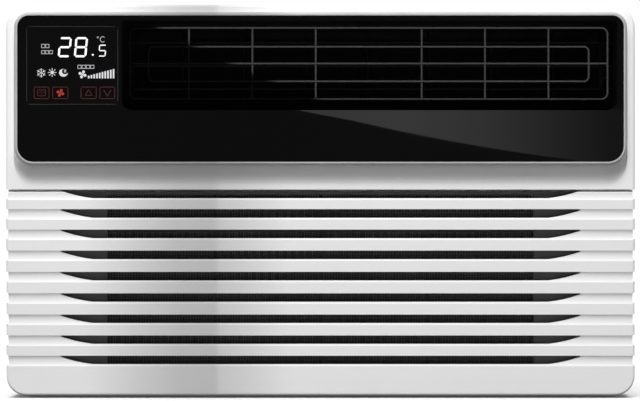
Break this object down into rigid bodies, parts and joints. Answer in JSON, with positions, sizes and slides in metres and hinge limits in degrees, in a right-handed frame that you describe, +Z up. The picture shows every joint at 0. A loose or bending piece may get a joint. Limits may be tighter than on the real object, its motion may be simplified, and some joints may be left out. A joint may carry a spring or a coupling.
{
  "type": "window air conditioner",
  "caption": "Window air conditioner with a ribbed hinged intake grille, glass fascia with display, guarded outlet with swing vanes, and a slide-out chassis in a steel sleeve.",
  "frame": {"origin": "middle of the footprint at the underside of the sleeve", "axes": "+Z up, -Y out of the front grille into the room, +X to the right seen from the room"},
  "size_m": [0.6, 0.56, 0.375],
  "materials": {
    "white_plastic": "satin moulded ABS",
    "black_glass": "polished back-painted glass",
    "lens": "smoked window",
    "trim_metal": "satin silver trim",
    "circuit_board": "solder mask",
    "pin_steel": "turned",
    "filter_plastic": "moulded",
    "filter_net": "woven nylon net",
    "black_plastic": "satin",
    "guard_wire": "dark grey coated wire",
    "vane_plastic": "satin",
    "motor_metal": "satin black",
    "foam": "charcoal bead foam",
    "sheet_white": "powder coat",
    "sheet_zinc": "galvanised",
    "fin_aluminium": "rolled fin stock",
    "copper": "drawn copper tube",
    "compressor_black": "black enamel",
    "rubber": "moulded",
    "fan_plastic": "glass filled",
    "capacitor_can": "drawn can"
  },
  "bodies": {
    "cabinet": {"case_floor": "sheet_white", "case_left": "sheet_white", "case_right": "sheet_white", "case_top": "sheet_white", "cabinet_screws": "pin_steel"},
    "chassis": {"front_panel": "white_plastic", "glass_panel": "black_glass", "panel_trim": "trim_metal", "display_window": "lens", "display_board": "circuit_board", "grille_hinge_pins": "pin_steel", "outlet_frame": "black_plastic", "outlet_guard": "guard_wire", "swing_motor": "motor_metal", "air_duct": "foam", "blower_housing": "foam", "blower_orifice": "sheet_zinc", "fan_motor": "motor_metal", "motor_bracket": "sheet_zinc", "fan_shroud": "sheet_zinc", "evaporator_fins": "fin_aluminium", "evaporator_tubes": "copper", "condenser_fins": "fin_aluminium", "condenser_tubes": "copper", "coil_end_plates": "sheet_zinc", "compressor": "compressor_black", "compressor_feet": "rubber", "accumulator": "compressor_black", "suction_pipe": "copper", "discharge_pipe": "copper", "capillary_line": "copper", "control_box": "sheet_zinc", "control_box_cover": "sheet_zinc", "power_board": "circuit_board", "run_capacitor": "capacitor_can", "base_pan": "sheet_zinc", "bulkhead": "sheet_zinc", "drain_fitting": "black_plastic", "cord_gland": "rubber", "panel_screws": "pin_steel", "rear_guard": "sheet_white"},
    "grille": {"intake_grille": "white_plastic", "filter_frame": "filter_plastic", "filter_mesh": "filter_net"},
    "fan_rotor": {"blower_wheel": "fan_plastic", "motor_shaft": "pin_steel", "condenser_fan": "fan_plastic"},
    "vane_link_bar": {"vane_link": "vane_plastic"},
    "crank": {"swing_crank": "vane_plastic"},
    "louver_link_bar": {"louver_link": "vane_plastic"},
    "vane_1_body": {"vane_1": "vane_plastic"},
    "vane_2_body": {"vane_2": "vane_plastic"},
    "vane_3_body": {"vane_3": "vane_plastic"},
    "vane_4_body": {"vane_4": "vane_plastic"},
    "vane_5_body": {"vane_5": "vane_plastic"},
    "vane_6_body": {"vane_6": "vane_plastic"},
    "vane_7_body": {"vane_7": "vane_plastic"},
    "louver_1_body": {"louver_1": "vane_plastic"},
    "louver_2_body": {"louver_2": "vane_plastic"},
    "louver_3_body": {"louver_3": "vane_plastic"}
  },
  "joints": [
    {"name": "chassis_slide", "type": "slide", "parent": "cabinet", "child": "chassis", "axis": [0, -1, 0], "range_m": [0, 0.5]},
    {"name": "grille_hinge", "type": "hinge", "parent": "chassis", "child": "grille", "pos_m": [0, -0.256, 0.192], "axis": [-1, 0, 0], "range_deg": [0, 40]},
    {"name": "fan_spin", "type": "hinge", "parent": "chassis", "child": "fan_rotor", "pos_m": [-0.055, 0, 0.185], "axis": [0, 1, 0], "continuous": true},
    {"name": "vane_1_swing", "type": "hinge", "parent": "chassis", "child": "vane_1_body", "pos_m": [-0.134, -0.206, 0.32], "axis": [0, 0, 1], "range_deg": [-30, 30]},
    {"name": "vane_2_swing", "type": "hinge", "parent": "chassis", "child": "vane_2_body", "pos_m": [-0.074, -0.206, 0.32], "axis": [0, 0, 1], "range_deg": [-30, 30]},
    {"name": "vane_3_swing", "type": "hinge", "parent": "chassis", "child": "vane_3_body", "pos_m": [-0.014, -0.206, 0.32], "axis": [0, 0, 1], "range_deg": [-30, 30]},
    {"name": "vane_4_swing", "type": "hinge", "parent": "chassis", "child": "vane_4_body", "pos_m": [0.046, -0.206, 0.32], "axis": [0, 0, 1], "range_deg": [-30, 30]},
    {"name": "vane_5_swing", "type": "hinge", "parent": "chassis", "child": "vane_5_body", "pos_m": [0.106, -0.206, 0.32], "axis": [0, 0, 1], "range_deg": [-30, 30]},
    {"name": "vane_6_swing", "type": "hinge", "parent": "chassis", "child": "vane_6_body", "pos_m": [0.166, -0.206, 0.32], "axis": [0, 0, 1], "range_deg": [-30, 30]},
    {"name": "vane_7_swing", "type": "hinge", "parent": "chassis", "child": "vane_7_body", "pos_m": [0.226, -0.206, 0.32], "axis": [0, 0, 1], "range_deg": [-30, 30]},
    {"name": "vane_link_pivot", "type": "hinge", "parent": "vane_1_body", "child": "vane_link_bar", "pos_m": [-0.134, -0.194, 0.283], "axis": [0, 0, 1], "range_deg": [-30, 30]},
    {"name": "swing_crank_turn", "type": "hinge", "parent": "chassis", "child": "crank", "pos_m": [0.256, -0.206, 0.283], "axis": [0, 0, 1], "range_deg": [-30, 30]},
    {"name": "louver_1_tilt", "type": "hinge", "parent": "chassis", "child": "louver_1_body", "pos_m": [0.05, -0.243, 0.295], "axis": [1, 0, 0], "range_deg": [-40, 40]},
    {"name": "louver_2_tilt", "type": "hinge", "parent": "chassis", "child": "louver_2_body", "pos_m": [0.05, -0.243, 0.3175], "axis": [1, 0, 0], "range_deg": [-40, 40]},
    {"name": "louver_3_tilt", "type": "hinge", "parent": "chassis", "child": "louver_3_body", "pos_m": [0.05, -0.243, 0.34], "axis": [1, 0, 0], "range_deg": [-40, 40]},
    {"name": "louver_link_pivot", "type": "hinge", "parent": "louver_1_body", "child": "louver_link_bar", "pos_m": [0.2705, -0.236, 0.295], "axis": [1, 0, 0], "range_deg": [-40, 40]}
  ],
  "couplings": [
    {"joint": "vane_2_swing", "follows": "vane_1_swing", "ratio": 1},
    {"joint": "vane_3_swing", "follows": "vane_1_swing", "ratio": 1},
    {"joint": "vane_4_swing", "follows": "vane_1_swing", "ratio": 1},
    {"joint": "vane_5_swing", "follows": "vane_1_swing", "ratio": 1},
    {"joint": "vane_6_swing", "follows": "vane_1_swing", "ratio": 1},
    {"joint": "vane_7_swing", "follows": "vane_1_swing", "ratio": 1},
    {"joint": "vane_link_pivot", "follows": "vane_1_swing", "ratio": -1},
    {"joint": "swing_crank_turn", "follows": "vane_1_swing", "ratio": 1},
    {"joint": "louver_2_tilt", "follows": "louver_1_tilt", "ratio": 1},
    {"joint": "louver_3_tilt", "follows": "louver_1_tilt", "ratio": 1},
    {"joint": "louver_link_pivot", "follows": "louver_1_tilt", "ratio": -1}
  ]
}
